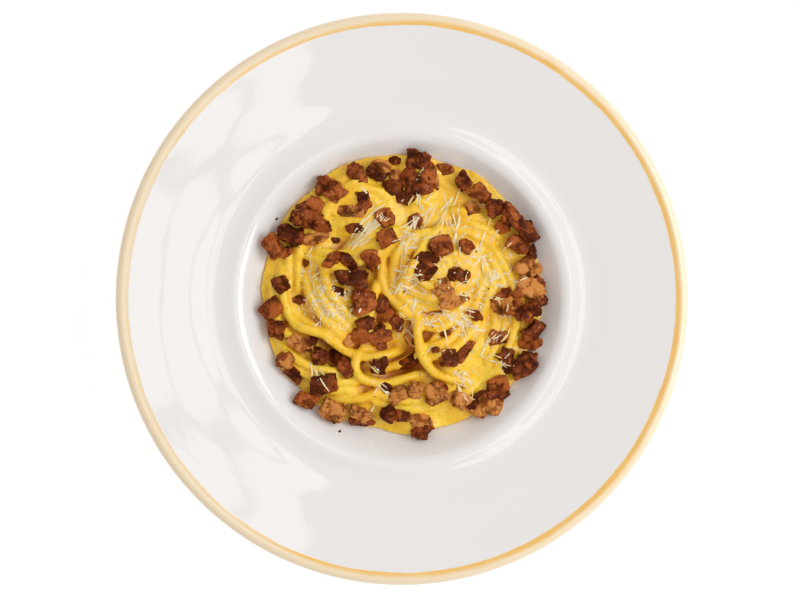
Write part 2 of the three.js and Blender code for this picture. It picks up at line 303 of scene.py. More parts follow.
floor = {"size": 8, "drop": 0.2 * mm, "grey": (0.3, 0.3, 0.3, 1), "glow": 0.8}


def makeFloor():
    deselectAll()
    bpy.ops.mesh.primitive_plane_add(size=floor["size"], location=(0, 0, -floor["drop"]))
    obj = bpy.context.object
    obj.name = "floor"
    constants = {"Base Color": floor["grey"], "Roughness": 0.9, "Specular IOR Level": 0.1,
                 "Emission Color": (1, 1, 1, 1), "Emission Strength": floor["glow"]}
    obj.data.materials.append(newMaterial("paleFloor", constants)[0])


# plate: one section spun round, with a rounded edge, a wide rim, a lip and a well

plate = {
    "radius": 135, "height": 38, "edgeRound": 3.2, "edgeTurn": (-110, 120), "spinSteps": 192,
    "lipRadius": 80, "lipHeight": 30, "lipRound": 8, "lipTurn": (88, 133),
    "floorRadius": 34, "floorHeight": 9, "floorEase": 16, "wallPower": 2,
    "footDepth": 3.5, "footStart": 51, "underPower": 1.1, "rimThickness": 5,
    "foot": ((41, 3.5), (42.4, 3), (43.4, 0.7), (44, 0), (50, 0), (50.5, 0.6)),       # radius and height
    "bodyEnd": (4, -1), "rimUnder": ((6.2, 0), (9, 0.6)),       # from the lip and the rim's underside
    "rimRise": ((35, 4.3), (20, 1.6), (8, -0.5), (0.5, 0)),       # from the lip and its top
}


def arcPoints(centre, radius, start, end, steps):
    angles = [math.radians(start + (end - start) * i / steps) for i in range(steps + 1)]
    return [(centre[0] + radius * math.cos(a), centre[1] + radius * math.sin(a)) for a in angles]


def curveValue(a, b, c, d, t):
    square, cube = 2 * a - 5 * b + 4 * c - d, 3 * b - a - 3 * c + d
    return 0.5 * (2 * b + (c - a) * t + square * t * t + cube * t ** 3)


def curvePoints(points, steps):       # a smooth curve through every point
    made = []
    padded = [points[0], *points, points[-1]]
    for four in zip(padded, padded[1:], padded[2:], padded[3:]):
        for i in range(steps):
            made.append(tuple(curveValue(*values, i / steps) for values in zip(*four)))
    return [*made, points[-1]]


def risingCurve(start, end, power, steps):
    shares = [i / steps for i in range(steps + 1)]
    width, rise = end[0] - start[0], end[1] - start[1]
    return [(start[0] + width * share, start[1] + rise * share ** power) for share in shares]


def lipPoints():
    centre = (plate["lipRadius"], plate["lipHeight"] - plate["lipRound"])
    return arcPoints(centre, plate["lipRound"], *plate["lipTurn"], 9)


def plateSection():
    p = plate
    bodyTop = p["lipHeight"] - p["rimThickness"]
    under = [(p["lipRadius"] + r, bodyTop + z) for r, z in (p["bodyEnd"], *p["rimUnder"])]
    body = risingCurve((p["footStart"], p["footDepth"] - 1), under[0], p["underPower"], 14)
    edge = (p["radius"] - p["edgeRound"], p["height"] - p["edgeRound"])
    roll = arcPoints(edge, p["edgeRound"], *p["edgeTurn"], 20)
    rise = [(p["lipRadius"] + r, p["lipHeight"] + z) for r, z in p["rimRise"]]
    rim = curvePoints([roll[-1], *rise], 5)[1:]
    lip = lipPoints()
    well = risingCurve((p["floorRadius"], p["floorHeight"]), lip[-1], p["wallPower"], 22)[::-1]
    middle = [(p["floorRadius"] - p["floorEase"], p["floorHeight"]), (0, p["floorHeight"])]
    return [(0, p["footDepth"]), *p["foot"], *body, *under[1:], *roll, *rim, *lip[1:], *well[1:], *middle]


def makePlate():
    section = plateSection()
    deselectAll()
    bpy.ops.mesh.primitive_plane_add(size=1 * mm, location=(0, 0, 0))
    obj = bpy.context.object
    obj.name = "plateGlazed"
    bpy.ops.object.mode_set(mode="EDIT")
    bpy.ops.mesh.select_all(action="SELECT")
    bpy.ops.mesh.merge(type="CENTER")
    bpy.ops.transform.translate(value=(section[0][0] * mm, 0, section[0][1] * mm))
    for before, after in zip(section, section[1:]):
        step = ((after[0] - before[0]) * mm, 0, (after[1] - before[1]) * mm)
        bpy.ops.mesh.extrude_region_move(TRANSFORM_OT_translate={"value": step})
    bpy.ops.mesh.select_all(action="SELECT")
    bpy.ops.mesh.spin(steps=plate["spinSteps"], angle=2 * math.pi, center=(0, 0, 0), axis=(0, 0, 1))
    bpy.ops.mesh.select_all(action="SELECT")
    bpy.ops.mesh.remove_doubles(threshold=0.01 * mm)
    bpy.ops.mesh.normals_make_consistent(inside=False)
    bpy.ops.object.mode_set(mode="OBJECT")
    smoothShade(obj, 50)
    obj.data.materials.append(makeGlaze())
    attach(obj, "root")
    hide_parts("plate")
    return obj


glaze = {
    "white": rgba(242, 241, 240), "cool": rgba(238, 238, 240), "cream": rgba(248, 231, 200),
    # brown is the colour of a painted shadow along the plate's outer edge
    "yellow": (rgba(246, 190, 92), rgba(252, 212, 132)), "brown": rgba(150, 105, 60),
    "bandInner": (128.65, 129.2), "ragged": 1.7, "frontHeight": (31.4, 32.6),
    "bandFade": (129.8, 132.8), "fadeRagged": 3.5, "fadeLean": 2.4, "fadeFrom": 0.15,
    # where the painted shadow lies: a thin ring at the outermost edge, on the left side only
    "edgeShadowRing": (134.75, 134.95), "edgeShadowFrom": 0.2,
    "ripple": 0.15 * mm, "ripplePitch": 13, "fineRipple": 0.12,
}


def makeGlaze():
    constants = {"IOR": 1.5, "Coat Weight": 0.3, "Coat Roughness": 0.02}
    material, shader, place = newMaterial("whiteGlaze", constants)
    flat = place.node("ShaderNodeVectorMath", {"operation": "MULTIPLY"}, {0: place, 1: (1, 1, 0)})
    distance = place.node("ShaderNodeVectorMath", {"operation": "LENGTH"}, {0: flat}, output=1) * 1000
    side = place.node("ShaderNodeSeparateXYZ", {}, {0: place}) * (1000 / plate["radius"])
    up = place.node("ShaderNodeSeparateXYZ", {}, {0: place}, output=2) * 1000

    # a hand painted band, strong along its inner line and fading to cream outside it, with the fade starting
    # further in on the left
    ragged = distance + (place.noise(55, 4, 0.6) - 0.5) * glaze["ragged"]
    painted = ragged.step(*glaze["bandInner"]) * up.step(*glaze["frontHeight"])
    lean = glaze["fadeLean"] * (glaze["fadeFrom"] - side).clamp()
    paling = distance + lean + (place.noise(30, 5, 0.6) - 0.5) * glaze["fadeRagged"]
    # painted shadow: a thin brown line along the outermost edge, on the left side only
    outerEdgeShadow = distance.step(*glaze["edgeShadowRing"]) * (glaze["edgeShadowFrom"] - side).clamp()
    band = place.mix(place.noise(90, 3), *glaze["yellow"])
    band = place.mix(paling.step(*glaze["bandFade"]), band, glaze["cream"])
    band = place.mix(outerEdgeShadow, band, glaze["brown"])
    white = place.mix(place.noise(9, 3), glaze["white"], glaze["cool"])
    colour = place.mix(painted, white, band)

    # the glaze lies in slow rings, which bend what it mirrors
    ringed = {0: distance * (1 / glaze["ripplePitch"]), 1: side * 0.7}
    rings = place.node("ShaderNodeCombineXYZ", {}, ringed)
    added = {0: place, 1: (9, 9, 9), 2: rings}
    turned = place.node("ShaderNodeVectorMath", {"operation": "MULTIPLY_ADD"}, added)
    wave = turned.noise(1, 2, 0.45) + glaze["fineRipple"] * place.noise(70, 2, 0.5)
    gloss = 0.02 + 0.06 * place.noise(40, 3)
    connect(shader, colour=colour, normal=wave.bump(glaze["ripple"]), roughness=gloss)
    return material


# heights on a square grid, in millimetres, over the well

gridHalf = 76.0
gridStep = 0.5
gridSide = int(round(2 * gridHalf / gridStep)) + 1
gridLine = np.linspace(-gridHalf, gridHalf, gridSide)
gridX, gridY = np.meshgrid(gridLine, gridLine)


def gridHeights(tree, otherwise):
    down = Vector((0, 0, -1))
    field = np.array(otherwise, dtype=float)
    for row in range(gridSide):
        for column in range(gridSide):
            x, y = gridX[row, column] * mm, gridY[row, column] * mm
            hit = tree.ray_cast(Vector((x, y, 0.08)), down)[0]
            if hit is not None:
                field[row, column] = max(field[row, column], hit.z / mm)
    return field


def wellHeights():
    p = plate
    edgeR, edgeZ = lipPoints()[-1]
    part = np.clip((np.hypot(gridX, gridY) - p["floorRadius"]) / (edgeR - p["floorRadius"]), 0, 1)
    return p["floorHeight"] + (edgeZ - p["floorHeight"]) * part ** p["wallPower"]


def readGrid(field, x, y):
    column = np.clip((np.asarray(x) + gridHalf) / gridStep, 0, gridSide - 1.001)
    row = np.clip((np.asarray(y) + gridHalf) / gridStep, 0, gridSide - 1.001)
    c, r = column.astype(int), row.astype(int)
    u, v = column - c, row - r
    low = field[r, c] * (1 - u) + field[r, c + 1] * u
    high = field[r + 1, c] * (1 - u) + field[r + 1, c + 1] * u
    return low * (1 - v) + high * v


def gridIndex(x, y, rows=0, columns=0):       # the nearest row and column, or some rows and columns away
    nearest = [np.round((value + gridHalf) / gridStep).astype(int) for value in (y, x)]
    return np.clip(nearest[0] + rows, 0, gridSide - 1), np.clip(nearest[1] + columns, 0, gridSide - 1)


def blurred(field, spread):
    reach = int(3 * spread / gridStep)
    kernel = np.exp(-0.5 * (np.arange(-reach, reach + 1) * gridStep / spread) ** 2)
    kernel /= kernel.sum()
    for axis in (0, 1):
        padded = np.pad(field, [(reach, reach) if a == axis else (0, 0) for a in (0, 1)], mode="edge")
        field = np.apply_along_axis(lambda line: np.convolve(line, kernel, mode="valid"), axis, padded)
    return field


# strands: where each bundle runs, seen from above, in millimetres and degrees

strand = {
    "radius": 2.4, "pitch": 4.75, "step": 1.0, "bevel": 3, "wander": 0.25, "tightest": 1.6,
    "stiffness": 5.0, "rounds": 3, "sink": 0.55, "ease": 1.5,
    "startStray": (-9, 3), "endStray": (-3, 9), "endLength": 11, "endDip": 6.5, "dipPower": 1.6,
}

bundles = [   # middle, radius, first and last angle, strands side by side, drift, pieces end to end
    ((0, 2.2), 65.6, (8, 372), 1, 0.0, 5),
    ((0, 2.2), 61.2, (95, 262), 3, -1.5, 2),
    ((1, 2.0), 61.0, (-98, 10), 4, 1.5, 2),
    ((0, 2.0), 61.2, (-5, 98), 4, -1.5, 2),
    ((22, -5), 46.5, (40, 118), 5, 0.0, 1),
    ((-4, 6), 47, (60, 112), 3, 0.0, 1),
    ((8, -6), 45, (-42, 40), 5, 2.0, 1),
    ((3, -10), 42, (236, 318), 3, 2.0, 1),
    ((-30, 0), 48, (214, 292), 2, 0.0, 1),
    ((-29.8, -0.5), 38.6, (196, 302), 2, 0.0, 1),
    ((-20, 36), 17, (28, 190), 1, 0.0, 1),
    ((-20, 36), 12.2, (50, 165), 1, 2.0, 1),
    ((-14, 30), 30, (95, 150), 2, 0.0, 1),
    ((13, 13), 22.6, (112, 338), 1, 0.0, 1),
    ((13, 13), 17.9, (60, 392), 1, -1.0, 1),
    ((13.5, 13), 13.2, (-40, 300), 1, -1.0, 1),
    ((14, 13), 8.6, (20, 360), 1, -2.5, 1),
    ((-34.5, 1), 16.2, (62, 318), 1, 0.5, 1),
]
looseStrands = [   # how many cross the bundles side by side, and the places they pass
    (3, [(-47.5, 30), (-49.5, 20), (-49.5, 10), (-49, 0)]),
    (2, [(-44, 26), (-36, 22), (-27, 21), (-18, 23), (-10, 28)]),
    (2, [(-12, 8), (-14, -2), (-16, -12), (-13, -20), (-6, -24)]),
    (1, [(-58, 16), (-56.5, 2), (-53.5, -8), (-49, -13), (-43, -15), (-37, -17), (-31.5, -21),
         (-25, -25.5), (-15, -27.6), (-6, -26.2), (2, -23)]),
    (1, [(-61, 8), (-60.5, -5), (-57, -14), (-51, -19.5), (-44, -22.5)]),
    (2, [(9.6, -23), (16, -22), (22, -19.5), (28, -14), (32.5, -7), (36, 1), (37.5, 10)]),
    (1, [(8, -12), (15, -13.6), (22, -12), (27, -7)]),
    (1, [(-18, -24), (-21.6, -28), (-21.8, -34), (-17.5, -38.4), (-9, -40), (-1, -38.7), (6, -36.7),
         (15, -35), (23, -34)]),
    (1, [(5.5, -4), (7, -9), (7.6, -17), (8.8, -25), (11.5, -30.5), (15.5, -35), (21, -37.4),
         (29, -38.6), (37, -37)]),
    (1, [(-2.5, 4), (0, 8), (3.5, 13), (7, 18.5), (10, 25), (13.5, 30), (19, 34)]),
    (1, [(-30, 46), (-24, 51), (-17, 52.5), (-8, 50), (1, 46)]),
    (3, [(-37, 15), (-35.5, 7), (-31, -1), (-25, -8), (-19, -13)]),
    (1, [(-38, 16), (-30, 14), (-23, 9), (-19, 2)]),
]
deepStrands = {"count": 46, "reach": 58, "radius": (14, 44), "turn": (70, 190)}       # hidden below the rest


def arcPath(middle, radius, sweep, drift, piece, pieces, spin):
    radius = radius + spin.uniform(-strand["wander"], strand["wander"])
    whole = sweep[1] - sweep[0]
    start = sweep[0] + whole * piece / pieces + spin.uniform(*strand["startStray"])
    end = sweep[0] + whole * (piece + 1) / pieces + spin.uniform(*strand["endStray"])
    length = abs(math.radians(end - start)) * radius
    turns = np.radians(np.linspace(start, end, max(8, int(length / strand["step"]))))
    waves = 0.5 * np.sin(turns * spin.uniform(2, 4) + spin.uniform(0, 6))
    waves = waves + 0.3 * np.sin(turns * 7 + spin.uniform(0, 6))
    reach = np.maximum(radius + drift * np.linspace(0, 1, len(turns)) + waves, strand["tightest"])
    return np.stack([middle[0] + reach * np.cos(turns), middle[1] + reach * np.sin(turns)], axis=1)


def throughPath(points, side):
    line = np.array(curvePoints(points, 12))
    lengths = np.concatenate([[0], np.cumsum(np.hypot(*np.diff(line, axis=0).T))])
    even = np.linspace(0, lengths[-1], max(6, int(lengths[-1] / strand["step"])))
    line = np.stack([np.interp(even, lengths, line[:, 0]), np.interp(even, lengths, line[:, 1])], axis=1)
    along = np.gradient(line, axis=0)
    along /= np.hypot(along[:, 0], along[:, 1])[:, None]
    return line + side * np.stack([-along[:, 1], along[:, 0]], axis=1)


def strandPaths():
    spin = random.Random(5)
    paths = []
    for _ in range(deepStrands["count"]):
        angle, away = spin.uniform(0, 2 * math.pi), deepStrands["reach"] * spin.random() ** 0.6
        middle = (away * math.cos(angle) * 0.5, away * math.sin(angle) * 0.5)
        radius = spin.uniform(*deepStrands["radius"])
        start = spin.uniform(0, 360)
        sweep = (start, start + spin.uniform(*deepStrands["turn"]))
        paths.append(arcPath(middle, radius, sweep, 0, 0, 1, spin))
    for middle, radius, sweep, count, drift, pieces in bundles:
        for k in range(count):
            for piece in range(pieces):
                paths.append(arcPath(middle, radius - k * strand["pitch"], sweep, drift, piece, pieces, spin))
    for count, places in looseStrands:
        for k in range(count):
            paths.append(throughPath(places, -k * strand["pitch"]))
    return paths


discReach = int(strand["radius"] / gridStep) + 1
discRows, discColumns = np.mgrid[-discReach:discReach + 1, -discReach:discReach + 1]
discAway = np.hypot(discRows, discColumns) * gridStep
discInside = discAway < strand["radius"]
discRows, discColumns = discRows[discInside], discColumns[discInside]
discCap = np.sqrt(strand["radius"] ** 2 - discAway[discInside] ** 2)


def discIndex(path):       # the cells under a strand, at each of its points
    return gridIndex(path[:, :1], path[:, 1:], discRows, discColumns)


def smoothLine(values, spread):
    reach = int(3 * spread / strand["step"])
    kernel = np.exp(-0.5 * (np.arange(-reach, reach + 1) * strand["step"] / spread) ** 2)
    return np.convolve(np.pad(values, reach, mode="edge"), kernel / kernel.sum(), mode="valid")


def supportUnder(path, heap):
    rows, columns = discIndex(path)
    return (heap[rows, columns] + discCap[None]).max(axis=1)


def depositStrand(path, middles, heap):
    rows, columns = discIndex(path)
    np.maximum.at(heap, (rows, columns), middles[:, None] + discCap[None])


def endDip(count):       # both ends of a strand dive into the heap
    fromEnd = np.minimum(np.arange(count), np.arange(count)[::-1]) * strand["step"]
    return strand["endDip"] * np.clip(1 - fromEnd / strand["endLength"], 0, 1) ** strand["dipPower"]


def layStrands(paths, heap):
    middles = []
    for path in paths:
        support = supportUnder(path, heap)
        line = support
        for _ in range(strand["rounds"]):
            line = np.maximum(support - strand["sink"], smoothLine(line, strand["stiffness"]))
        line = smoothLine(line, strand["ease"]) - endDip(len(path))
        depositStrand(path, line, heap)
        middles.append(line)
    return middles


# sauce: how far its level lies below the top of the strands, thin at the edge and on the right

sauce = {
    "depth": 2.3, "edgeDepth": 1.5, "edgeFrom": 0.72, "edgeWidth": 0.2, "fadeWidth": 0.06,
    "film": 1.6, "crest": 0.8, "press": (0.35, 0.85), "bed": 2.2, "bedFrom": 0.75, "bedWidth": 0.15,
    "patches": [       # middle, radius and how much deeper
        ((42, 22), 34, -1.7),
        ((40, -24), 26, -1.3),
        ((18, 16), 20, -1.2),
        ((5, 46), 24, -1.4),
        ((-24, 43), 25, -2.1),
        ((-49, 13), 12, 2.5),
        ((-28, -24), 16, 2.6),
        ((-2, -32), 16, 2.8),
        ((-25, 26), 10, 1.0),
    ],
}


def sauceDepth(x, y, edgeShare):
    depth = np.full(np.shape(x), sauce["depth"])
    for middle, radius, deeper in sauce["patches"]:
        away = np.hypot(x - middle[0], y - middle[1]) / radius
        depth = depth + deeper * np.clip(1 - away ** 2, 0, 1)
    nearEdge = np.clip((edgeShare - sauce["edgeFrom"]) / sauce["edgeWidth"], 0, 1)
    depth = depth * (1 - nearEdge) + sauce["edgeDepth"] * nearEdge
    return depth * np.clip((1 - edgeShare) / sauce["fadeWidth"], 0.1, 1)


def outlineAt(angles):
    co = getVertices(frame["nodes"]["spaghetti"]) / mm
    turns = np.arctan2(co[:, 1], co[:, 0])
    reach = np.hypot(co[:, 0], co[:, 1])
    sectors = 60
    which = np.round(turns / (2 * math.pi) * sectors).astype(int) % sectors
    edge = np.array([reach[which == k].max() for k in range(sectors)])
    place = (np.asarray(angles) / (2 * math.pi) * sectors) % sectors
    low = place.astype(int) % sectors
    part = place - place.astype(int)
    return edge[low] * (1 - part) + edge[(low + 1) % sectors] * part


heapFit = {
    "inside": 0.97, "laidBelow": 8.5, "broad": 7, "fine": 2.0, "under": 0.9, "soften": 1.5,
    "coreClear": 0.8, "skinClear": 0.15, "voxel": 0.72, "quickVoxel": 1.1,
    "relief": ((3.2, 0.3), (1.4, 0.2)),       # the sauce's soft lumps: size and height
    # how the painted shade between the strands is measured
    "hollowSpread": 3.0, "hollowDepth": 3.5,
}


def blurredInside(field, inside, spread):       # blurred without what lies outside the outline
    weight = np.maximum(blurred(inside.astype(float), spread), 1e-3)
    return blurred(np.where(inside, field, 0), spread) / weight


def makeTubes(paths, lines):
    data = bpy.data.curves.new("strands", "CURVE")
    data.dimensions = "3D"
    data.bevel_depth = strand["radius"] * mm
    data.bevel_resolution = strand["bevel"]
    data.use_fill_caps = True
    for path, line in zip(paths, lines):
        spline = data.splines.new("POLY")
        keep = np.unique(np.append(np.arange(0, len(path), 2), len(path) - 1))
        spline.points.add(len(keep) - 1)
        flat = np.column_stack([path[keep] * mm, line[keep] * mm, np.ones(len(keep))])
        spline.points.foreach_set("co", flat.reshape(-1))
    makeActive(newObject("strands", data))
    bpy.ops.object.convert(target="MESH")
    return bpy.context.scene.objects["strands"]


def lowerCore(core, well, lift):       # the top of the core becomes the level of the sauce
    co = getVertices(core) / mm
    x, y = co[:, 0], co[:, 1]
    upward = np.array([vertex.normal.z for vertex in core.data.vertices]) > 0.05
    down = sauceDepth(x, y, np.hypot(x, y) / outlineAt(np.arctan2(y, x))) - readGrid(lift, x, y)
    lowest = readGrid(well, x, y) + heapFit["coreClear"]
    co[:, 2] = np.where(upward, np.maximum(co[:, 2] - down, lowest), co[:, 2])
    setVertices(core, co * mm)


def makeHeap():
    well = wellHeights()
    core = copyNode("spaghetti", "core")
    applyModifier(core, "SUBSURF", levels=2, render_levels=2)
    crown = gridHeights(surfaceOf([core]), well)
    edgeShare = np.hypot(gridX, gridY) / outlineAt(np.arctan2(gridY, gridX))
    inside = edgeShare < heapFit["inside"]
    print("heap: outline and crown read from the frame")

    paths = strandPaths()
    for path in paths:     # pulled in where they would leave the outline
        reach = np.hypot(path[:, 0], path[:, 1])
        most = outlineAt(np.arctan2(path[:, 1], path[:, 0])) - strand["radius"] - sauce["film"]
        path *= np.minimum(1, most / np.maximum(reach, 1e-6))[:, None]
    heap = np.maximum(well, crown - heapFit["laidBelow"])
    middles = layStrands(paths, heap)

    # the heap as laid is shifted to the crown, and its strands are pressed down where the sauce is thin
    aim = blurredInside(crown, inside, heapFit["fine"])
    above = aim - blurredInside(heap, inside, heapFit["broad"])
    shift = blurred(np.where(inside, above - heapFit["under"], 0), heapFit["soften"])
    depth = sauceDepth(gridX, gridY, edgeShare)
    light, hard = sauce["press"]
    press = light + (hard - light) * np.clip(1 - depth / sauce["depth"], 0, 1)
    bedded = sauce["bed"] * np.clip((edgeShare - sauce["bedFrom"]) / sauce["bedWidth"], 0, 1)

    def settled(lift):
        fixed = []
        for path, line in zip(paths, middles):
            x, y = path.T
            raised = line + readGrid(shift + lift, x, y)
            proud = raised + strand["radius"] - readGrid(aim + lift, x, y) - sauce["crest"]
            raised = raised - np.maximum(proud, 0) * readGrid(press, x, y)
            fixed.append(np.maximum(raised, supportUnder(path, well) - readGrid(bedded, x, y)))
        return fixed

    lift = np.zeros_like(well)
    for _ in range(2):      # the strands rise or sink a little to carry each piece that rests on them
        surface = np.maximum(well, aim - depth + lift)
        for path, line in zip(paths, settled(lift)):
            depositStrand(path, line, surface)
        lift = lift + pieceLift(surface)
    tubes = makeTubes(paths, settled(lift))
    print("heap:", len(paths), "strands laid")

    lowerCore(core, well, lift)
    obj = joinObjects([core, tubes], "spaghettiHeap")
    voxel = heapFit["voxel"]
    applyModifier(obj, "REMESH", mode="VOXEL", voxel_size=voxel * mm)
    applyModifier(obj, "SMOOTH", factor=0.5, iterations=3)
    addRelief(obj)
    co = getVertices(obj) / mm
    co[:, 2] = np.maximum(co[:, 2], readGrid(well, co[:, 0], co[:, 1]) + heapFit["skinClear"])
    setVertices(obj, co * mm)
    smoothShade(obj)
    markHollowShade(obj)
    obj.data.materials.clear()
    obj.data.materials.append(makePasta())
    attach(obj, "root")
    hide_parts("spaghetti")
    print("heap:", len(obj.data.polygons), "faces")
    return obj


def chipNames():
    return sorted(name for name in frame["nodes"] if name.startswith("guanciale"))


resting = {"sunk": 0.3, "gap": 0.9, "near": 3.0, "spread": 4.0, "most": 3.0, "steady": 0.12}


def pieceLift(surface):       # how far each place moves to meet the undersides of the pieces round it
    total, weights = np.zeros_like(surface), np.full_like(surface, resting["steady"])
    for name in chipNames():
        co = getVertices(frame["nodes"][name]) / mm
        middle = co.mean(axis=0)
        underside = co[co[:, 2] < middle[2]].mean(axis=0)[2] - resting["sunk"]
        away = np.hypot(gridX - middle[0], gridY - middle[1])
        need = underside + resting["gap"] - surface[away < resting["near"]].mean()
        if abs(need) < resting["most"]:
            pull = np.exp(-0.5 * (away / resting["spread"]) ** 2)
            total += pull * need
            weights += pull
    return total / weights


def addRelief(obj):
    co = getVertices(obj)
    normals = np.array([vertex.normal[:] for vertex in obj.data.vertices])
    push = np.zeros(len(co))
    for size, height in heapFit["relief"]:
        push += np.array([noise.noise(Vector(point) / (size * mm)) for point in co]) * height
    setVertices(obj, co + normals * (push * mm)[:, None])


def markHollowShade(obj):       # how deep each point lies between the strands, for painted shade in the colour
    top = gridHeights(surfaceOf([obj]), wellHeights())
    co = getVertices(obj) / mm
    depth = readGrid(blurred(top, heapFit["hollowSpread"]), co[:, 0], co[:, 1]) - co[:, 2]
    setAttribute(obj, "hollow", np.clip(depth / heapFit["hollowDepth"], 0, 1))


pasta = {
    "bright": rgba(255, 216, 62), "warm": rgba(255, 200, 44), "deep": rgba(228, 154, 34),
    # the darkest colour is painted shade for the hollows between strands
    "hollow": rgba(192, 116, 20), "cream": rgba(255, 234, 150),
}


def makePasta():
    constants = {"IOR": 1.42, "Subsurface Weight": 0.12, "Subsurface Scale": 1.6 * mm,
                 "Subsurface Radius": (1.0, 0.7, 0.25), "Coat Weight": 0.3, "Coat Roughness": 0.12}
    material, shader, place = newMaterial("saucedPasta", constants)
    hollow = place.attribute("hollow")
    blotch = place.noise(45, 4, 0.6)
    fine = place.noise(420, 4, 0.6)
    curds = place.noise(260, 5, 0.7)
    colour = place.mix(blotch.step(0.35, 0.7), pasta["warm"], pasta["bright"])
    colour = place.mix(fine.step(0.5, 0.75) * 0.5, colour, pasta["deep"])
    colour = place.mix(curds.step(0.54, 0.68) * blotch.step(0.35, 0.6) * 0.45, colour, pasta["cream"])
    # painted shade: the colour darkens where a point lies deep between the strands
    colour = place.mix(hollow.step(0.1, 0.9), colour, pasta["hollow"])
    grain = fine * 0.5 + curds * 0.4 + place.noise(1300, 2, 0.5) * 0.3
    connect(shader, colour=colour, roughness=0.3 + 0.25 * fine, normal=grain.bump(0.5 * mm, 0.8))
    return material


# guanciale: chips and smaller bits with a crisp, wrinkled skin

chip = {
    "voxel": 0.36, "grow": 0.3, "lobes": (5.0, 0.75), "cells": (3.4, 0.35), "crack": 0.3,
    "wrinkles": (1.7, 0.2), "grain": (0.6, 0.09),       # each a size and a height
    "flat": 0.55, "trim": 0.7, "crestDepth": 1.4,
    "flakes": 4, "flakeReach": (0.3, 0.5, 0.8), "flakeRise": (0, 0.6), "flakeLean": 0.55,
    "flakeLong": (0.8, 1.2), "flakeWide": (0.6, 0.95), "flakeThickness": (1.5, 2.8),
}
tones = {
    "guanciale_dark": (rgba(92, 36, 8), rgba(156, 76, 28), 0.38),
    "guanciale_brown": (rgba(124, 54, 16), rgba(182, 98, 42), 0.44),
    "guanciale_red": (rgba(136, 62, 20), rgba(184, 98, 40), 0.46),
    "guanciale_amber": (rgba(150, 78, 26), rgba(218, 144, 72), 0.5),
}
# the first colour is painted shade for cracks and pits, the second a painted highlight for pale specks; glint
# is where the coat shines
crust = {"creviceShade": rgba(40, 12, 2), "speck": rgba(232, 176, 132), "glint": (0.54, 0.62)}


def roughen(obj, seed):       # torn lobes, cracks between fibres, wrinkles and a fine grain
    co = getVertices(obj)
    normals = np.array([vertex.normal[:] for vertex in obj.data.vertices])
    offset = Vector((seed * 13.1, seed * 7.7, seed * 5.3))
    push = np.empty(len(co))
    sizes, heights = zip(chip["lobes"], chip["cells"], chip["wrinkles"], chip["grain"])
    for i, point in enumerate(co):
        lobeAt, cellAt, wrinkleAt, grainAt = [(Vector(point) / mm + offset) / size for size in sizes]
        nearest = noise.voronoi(cellAt)[0]
        shapes = (noise.noise(lobeAt), min((nearest[1] - nearest[0]) / chip["crack"], 1) - 0.7,
                  0.6 - 2 * abs(noise.noise(wrinkleAt)), noise.noise(grainAt))
        push[i] = chip["grow"] + sum(shape * height for shape, height in zip(shapes, heights))
    sideways = 1 - chip["flat"] * np.abs(normals[:, 2])
    co += normals * (push * sideways * mm)[:, None]
    over = np.maximum(co[:, 2] - plate["height"] * mm, 0)       # above the plate's edge
    co[:, 2] -= over * chip["trim"]
    setVertices(obj, co)
    # how far each point stands out, from which the crust paints its crests lighter and its low parts darker
    # as painted light and shade
    setAttribute(obj, "crest", np.clip(0.5 + (push - push.mean()) / chip["crestDepth"], 0, 1))


chunkCuts = [       # a point and a direction for each corner that is cut off the block
    ((0.4, 0.3, 0), (1, 0.8, 0.2)),
    ((-0.42, 0.35, 0.1), (-0.7, 1, 0.3)),
    ((-0.3, -0.45, 0.1), (-0.6, -1, 0.5)),
]
chunkSway = 0.3       # how far a copy may lean out of square


def makeChunk():       # a rough block of one unit that every small piece is cut from
    deselectAll()
    bpy.ops.mesh.primitive_cube_add(size=1, location=(0, 0, 0))
    obj = bpy.context.object
    obj.name = "chunk"
    bpy.ops.object.mode_set(mode="EDIT")
    for corner, normal in chunkCuts:
        bpy.ops.mesh.select_all(action="SELECT")
        bpy.ops.mesh.bisect(plane_co=corner, plane_no=normal, use_fill=True, clear_outer=True)
    bpy.ops.mesh.select_all(action="SELECT")
    bpy.ops.mesh.subdivide(number_cuts=1)
    bpy.ops.object.mode_set(mode="OBJECT")
    return obj


def copyChunk(chunk, name, size, turn, place, normal, spin):
    obj = newObject(name, chunk.data.copy())
    tilt = Vector((0, 0, 1)).rotation_difference(normal).to_matrix()
    sway = Vector([spin.uniform(-chunkSway, chunkSway) for _ in range(2)])
    turned = tilt @ Matrix.Rotation(math.radians(turn), 3, "Z")
    flip = spin.choice((-1, 1))
    for vertex in obj.data.vertices:
        x, y, z = vertex.co
        leaned = (x * flip + sway.x * y, y * flip + sway.y * x, z)
        stretched = Vector([value * scale for value, scale in zip(leaned, size)])
        vertex.co = (turned @ stretched + Vector(place)) * mm
    return obj


def finishMeat(obj, material, seed):
    applyModifier(obj, "REMESH", mode="VOXEL", voxel_size=chip["voxel"] * mm)
    applyModifier(obj, "SMOOTH", factor=0.5, iterations=1)
    roughen(obj, seed)
    smoothShade(obj)
    obj.data.materials.append(material)
    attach(obj, "root")


